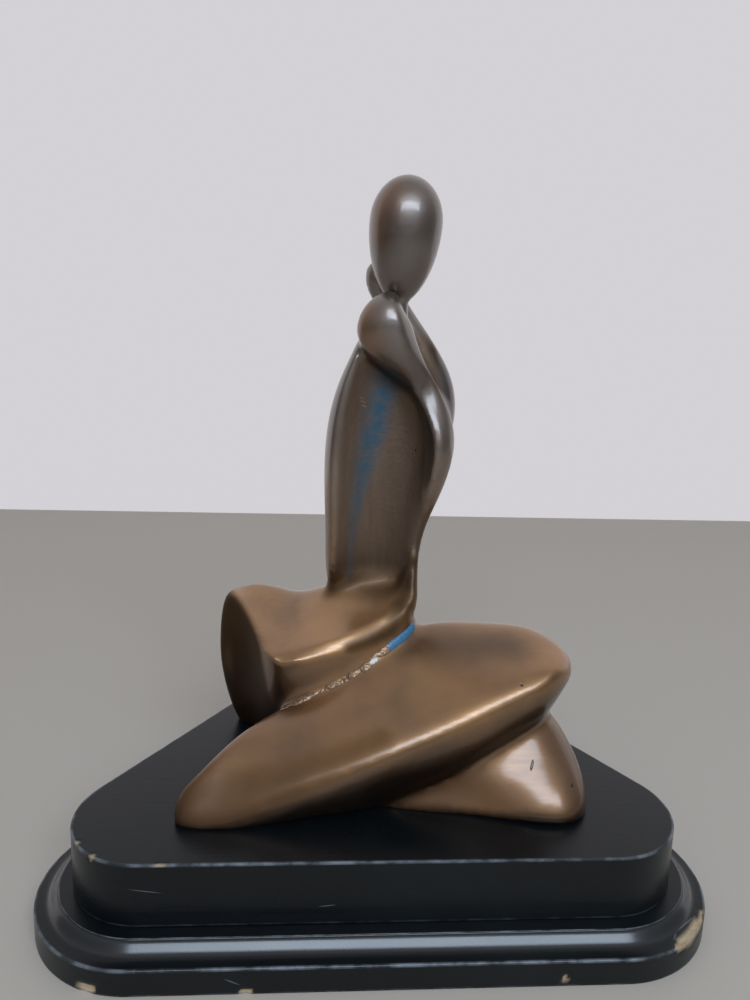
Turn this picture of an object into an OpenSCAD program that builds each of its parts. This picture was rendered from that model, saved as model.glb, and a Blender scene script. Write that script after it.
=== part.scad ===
// Seated abstract figure: welded bronze castings on a two-tier painted wooden base.
// Millimetres, +Z up. The origin is under the middle of the base, on the table.

/* [Base boards] */
// Distance between the corner centres of the three-sided plan
corner_spacing = 176; // [165:1:200]
// Corner radius of the upper plinth's plan
corner_r = 32; // [26:1:40]
// Thickness of the upper plinth
plinth_t = 25; // [20:1:35]
// Thickness of the lower moulded board
board_t = 15; // [13:1:22]
// Flat ledge of the lower board around the plinth
ledge_w = 6.5; // [4:0.5:10]
// Width of the rounded moulding outside the ledge
moulding_w = 7; // [5:0.5:9]
// Height of the rounded moulding with the fillet above it
moulding_h = 4.5; // [3.5:0.5:6]
// Fillet above the moulding and step below it
fillet = 0.6; // [0.3:0.1:1]
// Worn round on the plinth's top edge
edge_r = 0.8; // [0.4:0.1:2]

/* [Figure] */
// Height of the bronze figure above the plinth
figure_h = 254; // [220:1:280]
// Distance of the figure's axis behind the front corner centres
figure_setback = 50; // [45:1:55]
// Largest radius of the head
head_r = 15.4; // [14:0.1:17]
// Height of the head from chin to crown
head_h = 52; // [48:1:56]
// Radius of the neck stem between the arms
neck_r = 4; // [3:0.5:5]

/* [Fixings] */
// Diameter of the studs that hold the figure
stud_d = 6; // [5:0.5:8]
// Depth of the stud holes in the castings
stud_grip = 12; // [8:1:14]
// Diameter of the screws that join the two boards
screw_d = 4; // [3:0.5:5]

/* [Hidden] */

bronze = [0.43, 0.33, 0.23];
black_paint = [0.07, 0.08, 0.09];
steel = [0.62, 0.63, 0.65];
zinc = [0.72, 0.72, 0.68];

tri_h = corner_spacing * sqrt(3) / 2;
corner_reach = corner_spacing / sqrt(3);
plan_y = -tri_h / 6;
plinth_top = board_t + plinth_t;
figure_y = figure_setback - tri_h / 2;
// The castings are drawn at this height
drawn_h = 254;
figure_k = figure_h / drawn_h;
// Sides of round holes, rods and washers
rod_sides = 48;
// How far a cut runs past the face that it opens
over = 1;

// Spline skins

// Cubic spline weights of four neighbouring control points
function weights(t) = [pow(1 - t, 3), 3 * pow(t, 3) - 6 * t * t + 4,
                       -3 * pow(t, 3) + 3 * t * t + 3 * t + 1, pow(t, 3)] / 6;
function wrapped(c, i) = c[(i + len(c)) % len(c)];
function extended(c, i) = i < 0 ? 2 * c[0] - c[1]
    : i >= len(c) ? 2 * c[len(c) - 1] - c[len(c) - 2] : c[i];

// Control points moved until the spline passes close to the drawn points
function ring_blur(c) = [for (i = [0 : len(c) - 1]) (wrapped(c, i - 1) + 4 * c[i] + wrapped(c, i + 1)) / 6];
function rail_blur(c) = [for (i = [0 : len(c) - 1]) (extended(c, i - 1) + 4 * c[i] + extended(c, i + 1)) / 6];
function ring_fit(p, c, n) = n == 0 ? c : ring_fit(p, c + p - ring_blur(c), n - 1);
function rail_fit(p, c, n) = n == 0 ? c : rail_fit(p, c + p - rail_blur(c), n - 1);

// Point at a place along a ring, or along a rail that ends at its first and last points
function ring_at(c, u) = let (i = floor(u), w = weights(u - i))
    w[0] * wrapped(c, i - 1) + w[1] * wrapped(c, i) + w[2] * wrapped(c, i + 1) + w[3] * wrapped(c, i + 2);
function rail_at(c, v) = let (i = min(floor(v), len(c) - 2), w = weights(v - i))
    w[0] * extended(c, i - 1) + w[1] * c[i] + w[2] * c[i + 1] + w[3] * extended(c, i + 2);

// Rings of points on the smooth skin through the drawn sections
function skin(sections, steps) =
    let (held = [for (s = sections) ring_fit(s, s, 2)], net = rail_fit(held, held, 2))
    [for (v = [0 : 1 : (len(net) - 1) * steps]) let (c = rail_at(net, v / steps))
        [for (u = [0 : 1 : len(c) * steps - 1]) ring_at(c, u / steps)]];

// Solid between sections, the first and last of which are single points
module loft(sections, steps = 3) {
    rings = skin(sections, steps);
    last = len(rings) - 2;
    n = len(rings[0]);
    function at(i, j) = (i - 1) * n + j % n;
    poles = last * n;
    polyhedron(
        points = concat([for (i = [1 : last]) each rings[i]], [rings[0][0], rings[last + 1][0]]),
        faces = concat(
            [for (i = [1 : last - 1], j = [0 : n - 1]) each [
                [at(i, j), at(i + 1, j), at(i + 1, j + 1)],
                [at(i, j), at(i + 1, j + 1), at(i, j + 1)]]],
            [for (j = [0 : n - 1]) [poles, at(1, j), at(1, j + 1)]],
            [for (j = [0 : n - 1]) [poles + 1, at(last, j + 1), at(last, j)]]));
}

// A section drawn across the figure at x, and a section drawn together to a point
function across(x, outline) = [for (p = outline) [x, p[0], p[1]]];
function tip(p, n) = [for (i = [1 : n]) p];
function unit(v) = v / norm(v);

// Legs: sections across the figure, in pairs of depth and height above the plinth.
// Each runs from the back foot over the back and top to the ridge, down the front and along the sole.

front_leg_sections = [
    tip([-80.5, -57, 4], 10),
    across(-79, [[-54, 0], [-52.5, 4], [-54, 8], [-56, 9], [-58.5, 8],
                 [-60.5, 5.5], [-61.5, 3.5], [-61.5, 1.5], [-60, -1], [-57, -2]]),
    across(-73, [[-48, -2], [-46, 6], [-50, 13], [-53.5, 14.5], [-57.5, 11.5],
                 [-61.5, 6], [-63, 3.5], [-63.5, 1], [-62.5, -1], [-55, -3]]),
    across(-62, [[-40, -2], [-39, 12], [-43, 21.5], [-47, 23.7], [-54, 17],
                 [-61, 7], [-63, 4.5], [-63.2, 1.8], [-62, -1], [-51, -3]]),
    across(-48, [[-28, -2], [-26, 15], [-30, 26.5], [-36, 30.5], [-50, 23.5],
                 [-60.5, 12.3], [-62.8, 9.7], [-62.5, 4.5], [-60.2, -1], [-45, -3]]),
    across(-22, [[-14, -2], [-10, 20], [-15, 37], [-26, 39.8], [-45, 32.2],
                 [-59.2, 21.2], [-61.2, 18.8], [-60.8, 11], [-54, -1], [-34, -3]]),
    across(4, [[-6, -2], [-1, 26], [-6, 52], [-17, 57.5], [-38, 45],
               [-56.4, 30.6], [-58.4, 28.1], [-57.6, 16.5], [-50, -1], [-30, -3]]),
    across(28, [[-4, 4], [3, 34], [0, 56], [-8, 63], [-30, 54],
                [-51.4, 40.2], [-53.9, 37.6], [-54.7, 28], [-48.5, 11], [-28, 4]]),
    across(50, [[-4, 16], [2, 40], [0, 56], [-8, 63.5], [-27, 57],
                [-45.4, 49.8], [-48.4, 47.1], [-50, 38], [-44.5, 21], [-26, 15]]),
    across(68, [[-8, 30], [-3, 46], [-5, 57], [-11, 63.2], [-26, 60],
                [-39.9, 56.2], [-43.4, 53.7], [-45.3, 45.3], [-38.5, 31], [-24, 27]]),
    across(79, [[-15, 44], [-11, 49], [-12, 54.5], [-16, 58], [-25, 58.3],
                [-33, 55], [-35.5, 51.5], [-35, 47], [-30, 43], [-22, 42]]),
    across(83, [[-20, 48], [-18, 50], [-19, 52.5], [-21.5, 53.8], [-25, 53.6],
                [-27.5, 51.8], [-28.2, 49.8], [-27.5, 48], [-25.5, 46.8], [-23, 46.8]]),
    tip([84, -23.5, 50], 10)];

under_leg_sections = [
    tip([-8, -44, 1], 8),
    across(2, [[-36, -2], [-35, 3], [-39, 6], [-44, 6.5],
               [-48, 5], [-50.5, 2.5], [-50.5, -1], [-44, -3]]),
    across(28, [[-20, -2], [-18, 8], [-28, 16], [-42, 17.5],
                [-50.5, 11.5], [-55.8, 4.5], [-55.7, -1], [-38, -3]]),
    across(50, [[-14, -2], [-12, 14], [-20, 26], [-38, 31],
                [-50, 19.5], [-58.8, 8], [-60.5, -1], [-37, -3]]),
    across(66, [[-14, -2], [-11, 16], [-20, 32], [-36, 36],
                [-47.8, 24], [-60, 9.5], [-62.5, -1], [-38, -3]]),
    across(77, [[-22, -2], [-18, 14], [-26, 26], [-34, 27.8],
                [-45.8, 20], [-58.8, 8.5], [-60, -1], [-39, -3]]),
    across(84.5, [[-32, -2], [-28, 8], [-32, 14], [-38, 15],
                  [-45, 12.3], [-52.5, 5.2], [-52, -1], [-40, -3]]),
    tip([87.5, -40, 4], 8)];

rear_leg_sections = [
    tip([-73, 17, 44], 10),
    across(-71.5, [[24, 28], [25, 44], [21, 58], [18.5, 62], [16.5, 63],
                   [14.5, 61], [13, 57], [11.5, 46], [13, 34], [18, 26]]),
    across(-66.5, [[33, 6], [34, 38], [26, 64], [21, 69.3], [17, 70.3],
                   [13.5, 70], [11.5, 67], [9, 50], [13, 28], [22, 4]]),
    across(-58, [[35, -2], [40, 34], [28, 67], [21, 70.3], [12, 67],
                 [2, 64], [0, 61.5], [2, 44], [8, 20], [19, -3]]),
    across(-52, [[37, -2], [44, 34], [29, 66.5], [19, 70], [5, 64],
                 [-11, 58.5], [-13, 56], [-8, 40], [0, 16], [14, -3]]),
    across(-45, [[38, -2], [46, 33], [29, 65], [17, 69.8], [0, 62.5],
                 [-23, 55], [-25, 52.5], [-22, 38], [-10, 14], [8, -3]]),
    across(-35, [[38, -2], [46, 32], [28, 62], [14, 70], [-4, 63],
                 [-25.5, 56.2], [-27.5, 54], [-27, 42], [-18, 14], [6, -3]]),
    across(-20, [[36, -2], [45, 32], [28, 62], [6, 78], [-8, 67.5],
                 [-24, 61.2], [-26.3, 58.7], [-26.5, 46], [-19, 14], [6, -3]]),
    across(-5, [[32, -2], [42, 34], [26, 68], [4.5, 82], [-9, 71],
                [-21.7, 66.2], [-24, 63.7], [-24, 50], [-17, 16], [6, -3]]),
    across(8, [[26, -2], [35, 36], [22, 68], [6, 81], [-7, 76],
               [-15.7, 72.5], [-18.2, 69.5], [-19, 54], [-13, 18], [6, -3]]),
    across(15, [[18, 4], [26, 38], [17, 64], [6, 74], [-4, 76],
                [-11, 74], [-13.5, 70], [-14, 52], [-9, 22], [6, 4]]),
    tip([20, 5, 40], 10)];

// Torso: a scooped shell. Each level has its height, left rim, right side, rim, hollow and back
torso_levels = [
    [58, -15, 9, 4, 5, 18], [70, -19, 15, 3, 4, 19.5], [80, -21, 16.5, -2.5, 1.5, 20.5],
    [92, -21.9, 17.5, -5.6, -0.6, 21.5], [106, -22, 20.5, -6.3, -1, 22.5],
    [122, -22.6, 26, -6.5, -0.6, 23.5], [140, -22.4, 30, -6.5, 0, 24], [156, -20.6, 29, -6.5, 0.6, 22.5],
    [170, -17, 22, -6.5, 0, 18.5], [182, -12, 15, -6, -2, 13.5], [192, -7, 10, -4, -4, 8.5]];
function torso_ring(level) =
    let (z = level[0], left = level[1], w = level[2] - left, rim = level[3], deep = level[4] - rim,
         back = level[5] - rim)
    [[left, rim + 0.1 * back, z], [left + 0.04 * w, rim, z], [left + 0.13 * w, rim + 0.25 * deep, z],
     [left + 0.3 * w, rim + 0.8 * deep, z], [left + 0.5 * w, rim + deep, z],
     [left + 0.72 * w, rim + 0.9 * deep, z], [left + 0.9 * w, rim + 0.6 * deep, z],
     [left + w, rim + 0.4 * back, z],
     [left + 0.85 * w, rim + 0.8 * back, z], [left + 0.5 * w, rim + back, z],
     [left + 0.15 * w, rim + 0.8 * back, z], [left - 0.03 * w, rim + 0.4 * back, z]];
torso_foot = [-2, 7, 50];
torso_top = [1, 1, 197];
torso_sections = concat([tip(torso_foot, 12)], [for (l = torso_levels) torso_ring(l)], [tip(torso_top, 12)]);

// Arms: stations with centre, half width, half depth and the shift of the front ridge
near_arm_stations = [
    [[4, -3, 207], 0.1, 0.1, 0], [[3, -4, 205.5], 2.5, 3, 0], [[0, -8, 200], 8, 7, -0.2],
    [[-1, -9.5, 192], 12, 10, -0.35], [[6.2, -7, 181.6], 9.1, 8.4, 0], [[14.6, -3.2, 171.9], 5.8, 7, 0.5],
    [[22, -2.4, 160.4], 5.6, 7, 0.75], [[26.1, -2.6, 148], 5.6, 7, 0.75], [[25.8, -2.4, 136], 4.9, 6.6, 0.7],
    [[22.5, -1, 122], 4.2, 6.2, 0.5], [[18, -0.4, 108], 3.2, 5.7, 0.3], [[15.6, -1, 94], 2.8, 5.4, 0],
    [[14.8, -4.5, 82], 3, 5.6, 0], [[13.8, -8.5, 74], 3.8, 6, 0], [[12.5, -9, 68], 3, 4, 0],
    [[12.5, -9, 66], 0.1, 0.1, 0]];
far_arm_stations = [
    [[-3, 11, 221.5], 0.1, 0.1, 0], [[-3, 11, 220], 4, 4, 0], [[-1.5, 11, 213.5], 6.5, 6, 0],
    [[4, 12.5, 204], 6, 6, 0], [[11.5, 12.5, 192], 7, 7, 0], [[19.3, 12, 180], 7.5, 8, 0],
    [[25.5, 11.5, 168], 7.5, 9, 0], [[28, 11, 156], 6, 9.5, 0], [[26.5, 10.5, 144], 5, 9, 0],
    [[23.5, 10.5, 130], 4.5, 8.5, 0], [[20, 10.5, 115], 4, 8, 0], [[17, 10.5, 100], 3.2, 7.5, 0],
    [[15.5, 10, 86], 3, 7, 0], [[13.5, 9, 74], 3, 6, 0], [[12, 8, 68], 2.5, 4, 0],
    [[12, 8, 66], 0.1, 0.1, 0]];

// Eight points around a station, square to its run: the seventh stands out as the front ridge
ridge_out = 1.05;
beside_ridge = 0.97;
function station_ring(stations, i) =
    let (s = stations[i],
         run = stations[min(i + 1, len(stations) - 1)][0] - stations[max(i - 1, 0)][0],
         side = s[1] * unit(cross([0, 1, 0], run)), deep = s[2] * unit(cross(run, side)))
    [for (k = [0 : 7]) s[0] + (k == 6 ? s[3] * side - ridge_out * deep
        : (k == 5 || k == 7 ? beside_ridge : 1) * (cos(45 * k) * side + sin(45 * k) * deep))];
// The arms' stations lie close together, so fewer steps between them give a smooth skin
arm_steps = 2;
function spine(stations) = [for (i = [0 : len(stations) - 1]) station_ring(stations, i)];

// Weld bead along the groove between the front and rear legs
weld_path = [[-41, -30.5, 33.5], [-33, -28.8, 35.8], [-24, -28.4, 40], [-13.5, -27.8, 45.6],
             [-3.5, -25.6, 51.8], [7.3, -21.2, 59], [17.5, -15, 64.8]];
weld_r = 1.6;
weld_waist = 0.75;
weld_end_r = 0.05;
weld_ripples = 24;
weld_stations = [for (k = [0 : weld_ripples])
    let (p = rail_at(weld_path, k * (len(weld_path) - 1) / weld_ripples),
         r = k == 0 || k == weld_ripples ? weld_end_r : weld_r * (k % 2 == 0 ? 1 : weld_waist))
    [p, r, r, 0]];

module on_plinth() translate([0, figure_y, plinth_top]) scale(figure_k) children();

// Keeps what stands above the plinth
module standing() intersection() {
    children();
    translate([-drawn_h / 2, -drawn_h / 2, 0]) cube(drawn_h);
}

// Stud places under the figure: front foot, rear leg and under leg
stud_places = [[-48, -46], [-25, 16], [58, -38]];
stud_play = 0.15;
module stud_hole(k) translate([stud_places[k][0], stud_places[k][1], -over])
    cylinder(d = (stud_d + 2 * stud_play) / figure_k, h = over + stud_grip / figure_k, $fn = rod_sides);

// Castings as they leave the mould, before each is cut to meet its neighbours
module front_leg_cast() loft(front_leg_sections);
module rear_leg_cast() loft(rear_leg_sections);
module near_arm_cast() loft(spine(near_arm_stations), arm_steps);
module far_arm_cast() loft(spine(far_arm_stations), arm_steps);

module front_leg() color(bronze) on_plinth() difference() {
    standing() front_leg_cast();
    rear_leg_cast();
    stud_hole(0);
}

module rear_leg() color(bronze) on_plinth() difference() {
    standing() rear_leg_cast();
    stud_hole(1);
}

module under_leg() color(bronze) on_plinth() difference() {
    standing() loft(under_leg_sections);
    front_leg_cast();
    rear_leg_cast();
    stud_hole(2);
}

module torso_shell() color(bronze) on_plinth() difference() {
    loft(torso_sections);
    rear_leg_cast();
    near_arm_cast();
    far_arm_cast();
    head_cast();
}

module near_arm() color(bronze) on_plinth() difference() {
    near_arm_cast();
    head_cast();
    rear_leg_cast();
}

module far_arm() color(bronze) on_plinth() difference() {
    far_arm_cast();
    near_arm_cast();
    head_cast();
    rear_leg_cast();
}

// Head: a turned egg on a tapered neck that goes down between the hands
crown = 0.36;
chin_power = 0.58;
egg_steps = 24;
head_sides = 64;
head_tilt = 4.2;
neck_foot = [5.6, 0, 202.6];
neck_root = 12;
neck_lap = 4;
neck_spread = 1.5;
function egg(t) = t > 1 - crown ? sqrt(max(0, 1 - pow((t - 1 + crown) / crown, 2)))
                                : pow(max(0, 1 - pow(1 - t / (1 - crown), 2)), chin_power);
function egg_point(k) = let (t = (1 - cos(180 * k / egg_steps)) / 2)
    [k == egg_steps ? 0 : head_r * egg(t), head_h * t];
module head_cast() translate(neck_foot) rotate([0, head_tilt, 0]) {
    rotate_extrude($fn = head_sides) polygon([for (k = [0 : egg_steps]) egg_point(k)]);
    translate([0, 0, -neck_root])
        cylinder(r1 = neck_spread * neck_r, r2 = neck_r, h = neck_root + neck_lap, $fn = rod_sides);
}
module head() color(bronze) on_plinth() head_cast();

module lap_weld() color(bronze) on_plinth() difference() {
    loft(spine(weld_stations), 1);
    front_leg_cast();
    rear_leg_cast();
}

// Base boards: each is drawn out between turned posts at the three corners
post_sides = 48;
board_r = corner_r + ledge_w + moulding_w + fillet;
function corner_at(k, reach) = [reach * cos(90 + 120 * k), plan_y + reach * sin(90 + 120 * k), 0];
module between_corners() hull() for (k = [0 : 2]) translate(corner_at(k, corner_reach)) children();

// Half profiles of the posts, from the corner's axis outwards
edge_sides = 16;
arc_sides = 80;
module plinth_profile() {
    square([corner_r, plinth_t - edge_r]);
    square([corner_r - edge_r, plinth_t]);
    translate([corner_r - edge_r, plinth_t - edge_r]) circle(edge_r, $fn = edge_sides);
}

// The moulding's arc leaves the fillet level and falls to the step
module moulding_profile() {
    ledge = corner_r + ledge_w;
    drop = moulding_h - fillet;
    arc_r = (moulding_w * moulding_w + drop * drop) / (2 * drop);
    square([ledge, board_t - fillet]);
    intersection() {
        square([ledge + moulding_w, board_t - fillet]);
        translate([ledge, board_t - fillet - arc_r]) circle(arc_r, $fn = arc_sides);
    }
}

// Fixings: each stud has a washer and nut in a pocket under the lower board
pocket_d = 2.8 * stud_d;
pocket_h = 10;
stud_inset = 2;
stud_bore_d = stud_d + 1;
washer_d = 2 * stud_d;
washer_t = 1.6;
washer_bore_d = stud_d + 0.4;
nut_t = 0.8 * stud_d;
nut_af = 1.66 * stud_d;
nut_bore_d = stud_d + 0.1;
function stud_at(k) = [figure_k * stud_places[k][0], figure_y + figure_k * stud_places[k][1], 0];

// Board screws: sunk from below, this far inside the plinth's corners
screw_inset = 37;
screw_play = 0.1;
screw_l = board_t + 0.65 * plinth_t;
screw_head_d = 2 * screw_d;
screw_head_h = screw_d / 2;
function screw_at(k) = corner_at(k, corner_reach + corner_r - screw_inset);

module screw_shape(play) {
    cylinder(d1 = screw_head_d, d2 = screw_d, h = screw_head_h, $fn = rod_sides);
    cylinder(d = screw_d + 2 * play, h = screw_l, $fn = rod_sides);
}

module lower_board() color(black_paint) difference() {
    union() {
        between_corners() cylinder(r = board_r, h = board_t - moulding_h, $fn = post_sides);
        between_corners() rotate_extrude($fn = post_sides) moulding_profile();
        between_corners() cylinder(r = corner_r + ledge_w, h = board_t, $fn = post_sides);
    }
    for (k = [0 : 2]) {
        translate(stud_at(k) - [0, 0, over]) cylinder(d = pocket_d, h = pocket_h + over, $fn = rod_sides);
        translate(stud_at(k)) cylinder(d = stud_bore_d, h = board_t + over, $fn = rod_sides);
        translate(screw_at(k)) screw_shape(screw_play);
    }
}

module upper_plinth() color(black_paint) difference() {
    translate([0, 0, board_t]) between_corners() rotate_extrude($fn = post_sides) plinth_profile();
    for (k = [0 : 2]) {
        translate(stud_at(k)) cylinder(d = stud_bore_d, h = plinth_top + over, $fn = rod_sides);
        translate(screw_at(k)) screw_shape(screw_play);
    }
}

module tier_screw(k) color(zinc) translate(screw_at(k)) screw_shape(0);

module figure_stud(k) color(steel) translate(stud_at(k) + [0, 0, stud_inset])
    cylinder(d = stud_d, h = plinth_top + stud_grip - stud_inset, $fn = rod_sides);

module stud_washer(k) color(steel) translate(stud_at(k) + [0, 0, pocket_h - washer_t]) difference() {
    cylinder(d = washer_d, h = washer_t, $fn = rod_sides);
    translate([0, 0, -over]) cylinder(d = washer_bore_d, h = washer_t + 2 * over, $fn = rod_sides);
}

module stud_nut(k) color(steel) translate(stud_at(k) + [0, 0, pocket_h - washer_t - nut_t]) difference() {
    cylinder(d = nut_af / cos(30), h = nut_t, $fn = 6);
    translate([0, 0, -over]) cylinder(d = nut_bore_d, h = nut_t + 2 * over, $fn = rod_sides);
}

lower_board();
upper_plinth();
for (k = [0 : 2]) tier_screw(k);
for (k = [0 : 2]) figure_stud(k);
for (k = [0 : 2]) stud_washer(k);
for (k = [0 : 2]) stud_nut(k);
front_leg();
under_leg();
rear_leg();
torso_shell();
near_arm();
far_arm();
head();
lap_weld();
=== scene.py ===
"""Seated abstract figure in welded bronze on a black painted base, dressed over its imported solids."""

import math

import bmesh
import bpy
import numpy as np
from bpy.props import FloatProperty, FloatVectorProperty, IntProperty, PointerProperty
from mathutils import Matrix, Vector, noise


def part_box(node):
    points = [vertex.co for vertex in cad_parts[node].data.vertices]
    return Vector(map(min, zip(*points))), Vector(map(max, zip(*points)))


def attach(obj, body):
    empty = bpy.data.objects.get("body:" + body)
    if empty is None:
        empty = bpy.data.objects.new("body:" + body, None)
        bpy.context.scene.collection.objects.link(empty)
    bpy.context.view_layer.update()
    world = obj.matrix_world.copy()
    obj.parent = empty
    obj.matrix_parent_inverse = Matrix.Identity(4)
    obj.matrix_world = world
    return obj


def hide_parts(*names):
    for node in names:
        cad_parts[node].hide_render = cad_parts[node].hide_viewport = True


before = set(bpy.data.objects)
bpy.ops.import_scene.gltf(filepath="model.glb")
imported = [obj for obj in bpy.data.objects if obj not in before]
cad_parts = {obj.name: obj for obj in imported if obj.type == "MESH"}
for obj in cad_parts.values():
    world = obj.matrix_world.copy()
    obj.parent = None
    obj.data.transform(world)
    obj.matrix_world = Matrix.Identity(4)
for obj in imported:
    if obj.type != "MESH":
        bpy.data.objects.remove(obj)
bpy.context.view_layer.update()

bl_info = {
    "name": "Seated bronze figure",
    "version": (1, 0, 0),
    "blender": (4, 5, 0),
    "location": "3D View > Sidebar > Statuette",
    "description": "Builds the polished castings, the weld, the painted base and the stage",
    "category": "Object",
}

MM = 0.001
BODY_CASTINGS = ("rear_leg", "front_leg", "under_leg", "torso_shell", "near_arm", "far_arm")
STUDS = ("figure_stud_1", "figure_stud_2", "figure_stud_3")
WASHERS = ("stud_washer_1", "stud_washer_2", "stud_washer_3")
NUTS = ("stud_nut_1", "stud_nut_2", "stud_nut_3")
SCREWS = ("tier_screw_1", "tier_screw_2", "tier_screw_3")

# The base's plan is three equal corners, so its two extents give their spacing and their radius
PLINTH_LOW, PLINTH_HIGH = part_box("upper_plinth")
BOARD_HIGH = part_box("lower_board")[1]
PLINTH_SPAN = PLINTH_HIGH - PLINTH_LOW
CORNER_SPACING = (PLINTH_SPAN.x - PLINTH_SPAN.y) / (1 - math.sqrt(3) / 2)
CORNER_RADIUS = (PLINTH_SPAN.x - CORNER_SPACING) / 2
PLAN_CENTRE = Vector((0, PLINTH_LOW.y + CORNER_RADIUS + CORNER_SPACING * math.sqrt(3) / 6, 0))
PLINTH_TOP = PLINTH_HIGH.z
BOARD_TOP = BOARD_HIGH.z
BOARD_RADIUS = CORNER_RADIUS + (BOARD_HIGH.x - PLINTH_HIGH.x)

# The moulding from the ledge out to the step: share of its width and slope in degrees
MOULDING_SLOPES = (
    (0, 8), (0.04, 26), (0.08, 40), (0.13, 46), (0.2, 48), (0.27, 48), (0.34, 44), (0.42, 33), (0.5, 21),
    (0.6, 11), (0.75, 5), (1, 3))

# Routes on the bronze, in millimetres: x, y, z and half width at each point
TORSO_STREAK = (
    (2, -27, 213, 11), (-2.5, -27, 193, 10), (-6.8, -27, 176, 8.5), (-10, -27, 161, 6.2),
    (-12.2, -27, 147.5, 5.4), (-12.8, -27, 136, 4.4), (-12.6, -27, 123, 2.6))
GROOVE_PATCH = ((4, -50, 96.5, 1.6), (10, -46.6, 100.5, 2.4), (18, -41, 105.5, 2.6))
LAP_SEAM = (
    (-21, -26, 117, 8), (-11, -28, 119.5, 12), (0, -31, 119, 13), (9, -32, 120.5, 10), (14.5, -32, 130, 4))
LEG_DISH = ((14, -46, 99, 16), (32, -48, 98.5, 23), (54, -50, 100, 21))
KNEE_SIDE = ((-66, -18, 102, 34), (-62, -20, 80, 38), (-56, -24, 52, 36))
FRONT_RIDGE = (
    (-76, -86, 46, 9), (-35, -84.5, 58.6, 12), (2, -79.5, 72.5, 12), (22, -75.6, 80, 11), (42, -71, 88, 11),
    (60, -65, 95, 11))
LAP_EDGE = (
    (-41, -52.5, 94.7, 3), (-26, -53, 98, 3), (-12, -51.5, 101.5, 3.5), (5, -46, 107.5, 4), (12, -38, 119, 4))
LAP_FOLD = ((-12, -52.5, 99, 5), (6, -47, 105, 8), (13.5, -37, 118, 9), (15.5, -34, 131, 7))
ARM_VALLEY = (
    (-6, -33, 221, 4), (4, -32.5, 212, 6), (12, -30, 203, 7), (16.5, -28.5, 192, 7), (18, -29, 176, 7),
    (16.5, -29.5, 158, 7), (14, -30.5, 140, 6))
RECESS_SHADE = ((12, -28, 200, 16), (14, -28, 170, 20), (11, -28, 142, 20), (5, -28, 127, 18))
HAND_SHADE = ((-4, -28, 225, 10), (5, -28, 217, 14), (15, -28, 208, 11), (21, -28, 196, 6))
DULL_FOOT = ((-88, -85, 42, 20), (-60, -84, 51, 18), (-30, -85, 60, 11), (0, -80, 72, 8))
DULL_UNDER = ((14, -78, 44, 16), (34, -81, 48, 15), (50, -86, 43, 9))
WARM_HEAD = ((1, -37, 288, 10), (-2, -37, 278, 11), (-3, -37, 268, 8))
WARM_HAND = ((-9, -40, 236, 12), (-6, -41, 226, 11))
UNDER_FACE = ((36, -82, 51, 13), (54, -81, 54, 14), (64, -79, 57, 12))
FAR_ARM_SHADE = ((23, -20, 224, 7), (27, -21.5, 214, 9), (31, -21.5, 202, 10), (33, -20, 190, 9))
UNDER_SHADE = ((8, -80, 43, 16), (24, -82, 42, 12), (40, -86, 41, 9), (58, -88, 41, 7), (72, -86, 42, 6))
HEAD_LOW = ((5, -37, 268, 15), (7, -35, 252, 11))
# The near arm's front face leans back at its top: push along y in the last place
ARM_LEAN = (
    (9, -38, 217, 8, 0), (14, -36, 209, 9, 3.8), (19, -36, 200, 9.5, 0.8), (23, -36, 190, 10, -3.2),
    (25.2, -35, 180, 10, -4.6), (24.5, -34, 168, 9, -2.6), (21.5, -33, 154, 8, 0))
# The hand is filled out towards the neck
HAND_FILL = ((-1, -43.5, 235, 5, 0), (1.5, -40.5, 241, 6, -2.6), (3, -38, 246, 5, -1.8), (4, -37, 250, 3, 0))
# The under leg's front face leans over at its foot
UNDER_LEAN = ((8, -86, 42, 18, 3), (36, -89, 42, 22, 4), (54, -91, 42, 16, 2.8), (70, -90, 42, 9, 0))
# Painted shade: how much of the darkest colour is laid along each route, where shadows and dark reflections
# fall on the bronze
PAINTED_SHADE_ROUTES = (
    (0.65, LEG_DISH), (0.85, HAND_SHADE), (0.25, DULL_UNDER), (0.7, LAP_SEAM), (0.8, LAP_FOLD),
    (0.3, DULL_FOOT), (0.4, RECESS_SHADE), (0.3, HEAD_LOW), (0.6, FAR_ARM_SHADE), (0.6, UNDER_SHADE))
# Painted shade on the legs' downward faces and on the knee's left face, and how dull the routes are
UNDER_PAINTED_SHADE, KNEE_PAINTED_SHADE, ROUTE_DULL = 0.75, 0.85, 0.85

# The torso's bare hollow, in millimetres: its left edge as height and x, where it fades, and its stain
TORSO_EDGE = ((118, -21.5), (146, -22), (180, -22.4), (196, -20.6), (210, -17), (222, -12), (232, -7))
HOLLOW_DEPTH, HOLLOW_FOOT, HOLLOW_TOP = (-33.4, -31.9), (119, 130), (238, 226)
HOLLOW_LEFT, HOLLOW_RIGHT = (0.8, 3.5), (26, 23)
STAIN_DEPTH = (-33, -30)
# Heights in millimetres: the under leg's foot edge, which isn't filed, and the end of the legs' painted shade
FOOT_EDGE, LEG_SHADE_TOP = (43, 48), (150, 120)
# Rounds of averaging for a push, the knee's mark, the relief and the weld
LEAN_ROUNDS, KNEE_ROUNDS, RELIEF_ROUNDS, WELD_ROUNDS = 30, 4, 10, 3

# The weld, in millimetres: its route and the puddles on each stretch, with their lumps, sway and grit
WELD_ROUTE = (
    (-41, -56.7, 73.5), (-33, -55, 75.8), (-24, -54.6, 80), (-13.5, -54, 85.6), (-3.5, -51.8, 91.8),
    (7.3, -47.4, 99), (17.5, -41.2, 104.8))
WELD_SEED = 5
STRETCH_PUDDLES = 24
PUDDLE_SHAPE = (1.4, 1.4, 0.5, 1)
LUMP_SPACING = 2.5
SWAY, SWAY_SPACING = 0.9, 4
GRIT, GRIT_SPACING = 0.3, 0.9
GLAZE_RADIUS = 1.45
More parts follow.
